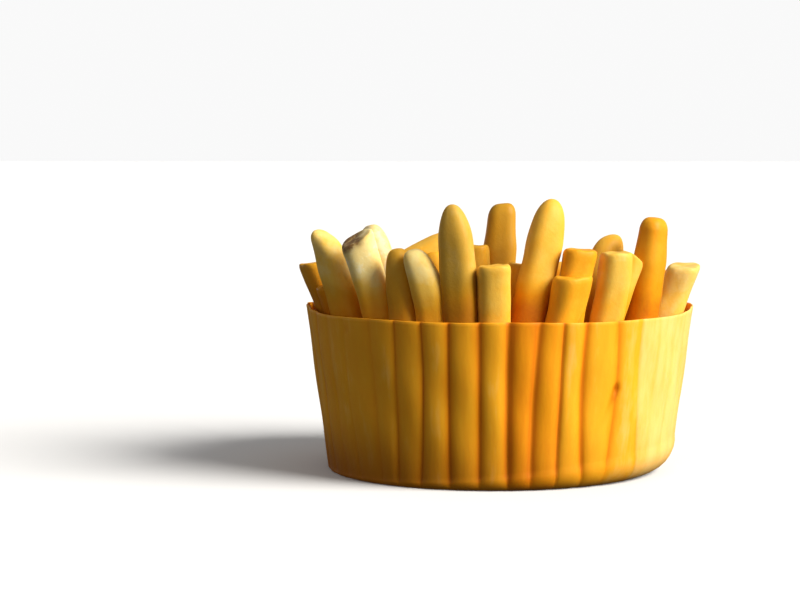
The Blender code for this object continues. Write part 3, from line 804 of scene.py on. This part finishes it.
def core_solid():
    """A turned solid: its foot, chamfer, side and lumpy top, ring by ring from the middle."""
    side_foot = FOOT_RADIUS + WALL_SLOPE * (CORE_FLOOR + CORE_CHAMFER) - CORE_GAP
    side_top = FOOT_RADIUS + WALL_SLOPE * CORE_TOP - CORE_GAP
    in_foot = side_foot - CORE_CHAMFER
    top_radius = side_top - CORE_SHOULDER
    foot = np.linspace(0.2, 1.0, CORE_FOOT_RINGS) * in_foot
    top = np.linspace(1.0, 0.03, CORE_TOP_RINGS) * top_radius
    radius = np.r_[foot, side_foot, top][:, None]
    foot_level, top_level = np.full(foot.size, CORE_FLOOR), np.full(top.size, CORE_TOP)
    height = np.r_[foot_level, CORE_FLOOR + CORE_CHAMFER, top_level][:, None]
    azimuth = np.arange(CORE_AROUND)[None, :] / CORE_AROUND * 2 * math.pi
    ring = around(radius, azimuth, height + 0 * azimuth)
    on_top = (height >= CORE_TOP) * np.clip((top_radius - radius) / 3, 0, 1)
    x, y = ring[..., 0], ring[..., 1]
    lumps = np.sin(0.66 * x) * np.sin(0.76 * y + 0.33 * x) + 0.6 * np.sin(1.3 * x + 0.9 * y)
    ring[..., 2] += on_top * CORE_LUMPS * lumps
    poles = np.array([[0.0, 0.0, CORE_FLOOR], [0.0, 0.0, CORE_TOP]])
    points = np.concatenate([ring.reshape(-1, 3), poles])
    squares, fans = ring_faces(len(ring), CORE_AROUND)
    painted = {
        "gold": np.full(len(points), CORE_TONE),
        "dull": np.full(len(points), CORE_DULLNESS),
    }
    return make_piece("fries_core", points, squares, fans, painted)


low = low_fries(standing + inside)
low_piece = fry_piece("low_fries", low, 24, 6, 10, seed=9)
core = core_solid()
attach(core, "root")
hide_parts("fries")
print(len(low), "low fries fill the gaps")

# %% [markdown]
# Finishes are built from nodes. A helper keeps that short: it adds a node, sets its plain
# values and links what is given as another node's output.


# %% A short way to write nodes
def add(tree, kind, inputs=(), **settings):
    """Adds a node, sets its settings, then its inputs: a number, a colour or an output to link."""
    node = tree.nodes.new(kind)
    for key, value in settings.items():
        setattr(node, key, value)
    for key, value in dict(inputs).items():
        if isinstance(value, bpy.types.NodeSocket):
            tree.links.new(value, node.inputs[key])
        else:
            node.inputs[key].default_value = value
    return node


def reckon(tree, operation, first, second, third=None):
    """One step of arithmetic on numbers or outputs."""
    given = {0: first, 1: second}
    if third is not None:
        given[2] = third
    return add(tree, "ShaderNodeMath", given, operation=operation).outputs[0]


def painted_value(tree, label):
    """A value that was painted on the points."""
    return add(tree, "ShaderNodeAttribute", attribute_name=label).outputs["Fac"]


def noise(tree, place, size, detail=2.0):
    """Soft random patches about so many mm across."""
    inputs = {"Vector": place, "Scale": 1.0 / (size * MM), "Detail": detail}
    return add(tree, "ShaderNodeTexNoise", inputs).outputs["Fac"]


def ramp(tree, factor, stops):
    """A scale of colours: each stop is a place from 0 to 1 and a colour."""
    node = add(tree, "ShaderNodeValToRGB", {"Fac": factor})
    scale = node.color_ramp
    while len(scale.elements) < len(stops):
        scale.elements.new(0.5)
    for element, (place, colour) in zip(scale.elements, stops):
        element.position = place
        element.color = (*colour, 1.0)
    return node.outputs["Color"]


def blend(tree, factor, first, second):
    """One colour over another."""
    inputs = {"Factor": factor, "A": first, "B": second}
    node = tree.nodes.new("ShaderNodeMix")
    node.data_type = "RGBA"
    for socket in node.inputs:
        if socket.enabled and socket.name in inputs:
            value = inputs[socket.name]
            if isinstance(value, bpy.types.NodeSocket):
                tree.links.new(value, socket)
            else:
                socket.default_value = value
    return [socket for socket in node.outputs if socket.enabled][0]


def new_finish(name):
    """A material with only its Principled shader, and its tree."""
    finish = bpy.data.materials.new(name)
    finish.use_nodes = True
    tree = finish.node_tree
    return finish, tree, tree.nodes["Principled BSDF"]


print("node helpers ready")

# %% [markdown]
# Fried potato is deep gold where the oil has worked longest and pale straw where it hasn't.
# One number, from 0 to 1, runs through a scale of such colours: the painted tone, less a
# little on the long edges, and shifted by two soft noises so that no face is one flat colour.
# A dull brown lies over it on the dull fries and round the ends, and the skin over that. On
# some fries that dull brown is painted shade, where they get less light, and on the rest it is
# their own browner colour. The flesh lets a little light in, so some of it scatters inside, and
# the oil film makes the gloss uneven.

# %% The finish of the fries
POTATO_COLOURS = (
    (0.0, (0.52, 0.12, 0.001)),
    (0.25, (0.76, 0.27, 0.003)),
    (0.5, (0.82, 0.39, 0.022)),
    (0.75, (0.86, 0.53, 0.085)),
    (0.95, (0.9, 0.72, 0.3)),
    (1.0, (0.93, 0.82, 0.52)),
)
# The dull brown, for browner fries and for painted shade on fries that get less light.
DULL_AND_SHADE_COLOUR = (0.38, 0.19, 0.012, 1.0)
SKIN_COLOUR = (0.13, 0.055, 0.018, 1.0)
BROWNING = 0.25


def potato_finish():
    """Colour scale of the painted tone and noise, with skin over it, and a finely pitted bump."""
    finish, tree, shader = new_finish("fried_potato")
    place = add(tree, "ShaderNodeTexCoord").outputs["Object"]
    patches = noise(tree, place, 5.0, 3.0)
    specks = noise(tree, place, 0.9, 3.0)
    pits = noise(tree, place, 0.35, 2.0)
    tone = reckon(tree, "MULTIPLY_ADD", patches, 0.30, painted_value(tree, "gold"))
    tone = reckon(tree, "MULTIPLY_ADD", specks, 0.10, tone)
    tone = reckon(tree, "SUBTRACT", tone, 0.20)
    tone = reckon(tree, "MULTIPLY_ADD", painted_value(tree, "edge"), -0.05, tone)
    colour = ramp(tree, tone, POTATO_COLOURS)
    streaks = reckon(tree, "MULTIPLY", noise(tree, place, 1.6, 4.0), 2.0)
    skin = reckon(tree, "MULTIPLY", painted_value(tree, "skin"), streaks)
    skin = reckon(tree, "SMOOTH_MIN", skin, 0.92, 0.1)
    # The dull brown is partly a fry's own browner colour and partly painted shade on fries that get
    # less light.
    browned, dull = painted_value(tree, "browned"), painted_value(tree, "dull")
    dull = reckon(tree, "MULTIPLY_ADD", browned, BROWNING, dull)
    colour = blend(tree, dull, colour, DULL_AND_SHADE_COLOUR)
    tree.links.new(blend(tree, skin, colour, SKIN_COLOUR), shader.inputs["Base Color"])
    gloss = reckon(tree, "MULTIPLY_ADD", patches, 0.22, 0.34)
    tree.links.new(gloss, shader.inputs["Roughness"])
    relief = reckon(tree, "MULTIPLY_ADD", specks, 0.7, reckon(tree, "MULTIPLY", pits, 0.3))
    bump = add(tree, "ShaderNodeBump", {"Height": relief, "Strength": 0.35, "Distance": 0.25 * MM})
    tree.links.new(bump.outputs["Normal"], shader.inputs["Normal"])
    shader.inputs["Subsurface Weight"].default_value = 0.15
    shader.inputs["Subsurface Radius"].default_value = (0.6, 0.5, 0.15)
    shader.inputs["Subsurface Scale"].default_value = 2.0 * MM
    shader.inputs["Specular IOR Level"].default_value = 0.12
    return finish


fried = potato_finish()
for piece in (shown_fries, ring_and_tall, inner_fries, low_piece, core):
    piece.data.materials.append(fried)
print("finish:", fried.name)

# %% [markdown]
# The paper is thin, yellow and a little greasy, so it shows the gold of the fries behind it.
# Its colour is painted bright where it lies tight on a fry and a deep orange in the grooves, as
# the shade in them and the light that goes in and comes out again. The painted groove value
# drives that painted shade. Faint upright fibres come from a noise that is drawn out along Z.

# %% The finish of the paper
PAPER_COLOURS = (
    (0.0, (0.9, 0.56, 0.16)),
    (0.3, (0.84, 0.38, 0.015)),
    (0.6, (0.78, 0.29, 0.006)),
    (1.0, (0.62, 0.17, 0.002)),
)
# The colour of the painted shade at the paper's foot.
FOOT_SHADE_COLOUR = (0.32, 0.08, 0.001, 1.0)
INSIDE_COLOUR = (0.6, 0.17, 0.003, 1.0)
INSIDE_SHARE = 0.3


def paper_finish():
    """Colour scale of groove depth as painted shade, and noise, over fine upright fibres."""
    finish, tree, shader = new_finish("paper")
    place = add(tree, "ShaderNodeTexCoord").outputs["Object"]
    drawn = add(tree, "ShaderNodeMapping", {"Vector": place, "Scale": (1.0, 1.0, 0.12)}).outputs[0]
    fibres = noise(tree, drawn, 0.7, 3.0)
    streaks = noise(tree, drawn, 2.6, 2.0)
    grease = noise(tree, place, 9.0, 3.0)
    # The groove's painted shade: the deeper the paper is pressed, the deeper its orange.
    groove = reckon(tree, "POWER", painted_value(tree, "groove"), 2.0)
    depth = reckon(tree, "MULTIPLY_ADD", grease, 0.24, groove)
    depth = reckon(tree, "MULTIPLY_ADD", streaks, 0.3, depth)
    depth = reckon(tree, "MULTIPLY_ADD", fibres, 0.12, depth)
    depth = reckon(tree, "MULTIPLY_ADD", painted_value(tree, "tone"), 0.6, depth)
    depth = reckon(tree, "ADD", depth, -0.02)
    colour = ramp(tree, depth, PAPER_COLOURS)
    # Painted shade towards the foot, most on the left.
    colour = blend(tree, painted_value(tree, "foot_shade"), colour, FOOT_SHADE_COLOUR)
    shade = reckon(tree, "MULTIPLY", painted_value(tree, "inside"), INSIDE_SHARE)
    tree.links.new(blend(tree, shade, colour, INSIDE_COLOUR), shader.inputs["Base Color"])
    tree.links.new(reckon(tree, "MULTIPLY_ADD", grease, 0.2, 0.38), shader.inputs["Roughness"])
    bump = add(tree, "ShaderNodeBump", {"Height": fibres, "Strength": 0.2, "Distance": 0.15 * MM})
    tree.links.new(bump.outputs["Normal"], shader.inputs["Normal"])
    shader.inputs["Specular IOR Level"].default_value = 0.15
    shader.inputs["Subsurface Weight"].default_value = 0.1
    shader.inputs["Subsurface Radius"].default_value = (1.0, 0.4, 0.1)
    shader.inputs["Subsurface Scale"].default_value = 1.0 * MM
    return finish


tub.data.materials.append(paper_finish())
print("finish:", tub.data.materials[0].name)

# %% [markdown]
# The photograph has a bright plain ground and one soft strong light from the right: the right
# of the tub is nearly white with it, and the left lies in warm shade. A sun with a wide disc
# gives such a light evenly over the whole floor, so the floor stays pale out to the horizon.
# The sky is pale only in a low band, which meets the floor, and dim above it.

# %% Floor, light and sky
FLOOR_SIZE = 40.0
FLOOR_COLOUR = (0.8, 0.8, 0.8, 1.0)
SUN_AZIMUTH = 65.0
SUN_HEIGHT = 32.0
SUN_STRENGTH = 6.6
SUN_WIDTH = 40.0
SUN_COLOUR = (1.0, 0.97, 0.92)
SKY_BANDS = (
    (0.48, (0.06, 0.055, 0.05)),
    (0.495, (0.95, 0.95, 0.95)),
    (0.54, (0.95, 0.95, 0.95)),
    (0.6, (0.2, 0.2, 0.2)),
    (1.0, (0.38, 0.38, 0.38)),
)


def pale_floor():
    """A plain square sheet of floor under the tub, which throws no light back on it."""
    half = FLOOR_SIZE / 2
    corners = [(-half, -half, 0.0), (half, -half, 0.0), (half, half, 0.0), (-half, half, 0.0)]
    mesh = bpy.data.meshes.new("floor")
    mesh.from_pydata(corners, [], [(0, 1, 2, 3)])
    floor = bpy.data.objects.new("floor", mesh)
    bpy.context.scene.collection.objects.link(floor)
    finish, tree, shader = new_finish("pale_floor")
    shader.inputs["Base Color"].default_value = FLOOR_COLOUR
    shader.inputs["Roughness"].default_value = 0.9
    shader.inputs["Specular IOR Level"].default_value = 0.1
    mesh.materials.append(finish)
    floor.visible_diffuse = False
    floor.visible_glossy = False


def soft_sun():
    """A sun that comes from the right of the front, with a wide disc for soft shadows."""
    sun = bpy.data.objects.new("sun", bpy.data.lights.new("sun", "SUN"))
    bpy.context.scene.collection.objects.link(sun)
    aim(sun, -compass(180.0 - SUN_AZIMUTH, SUN_HEIGHT))
    sun.data.energy = SUN_STRENGTH
    sun.data.angle = math.radians(SUN_WIDTH)
    sun.data.color = SUN_COLOUR


def banded_sky():
    """A sky whose brightness depends only on the height over the horizon."""
    world = bpy.data.worlds.new("studio")
    bpy.context.scene.world = world
    world.use_nodes = True
    tree = world.node_tree
    ray = add(tree, "ShaderNodeTexCoord").outputs["Generated"]
    climb = add(tree, "ShaderNodeSeparateXYZ", {0: ray}).outputs["Z"]
    climb = reckon(tree, "MULTIPLY_ADD", climb, 0.5, 0.5)
    tree.links.new(ramp(tree, climb, SKY_BANDS), tree.nodes["Background"].inputs["Color"])


pale_floor()
soft_sun()
banded_sky()
bpy.context.scene.view_settings.view_transform = "Standard"
print("sun from", SUN_AZIMUTH, "degrees right of the front,", SUN_HEIGHT, "degrees up")
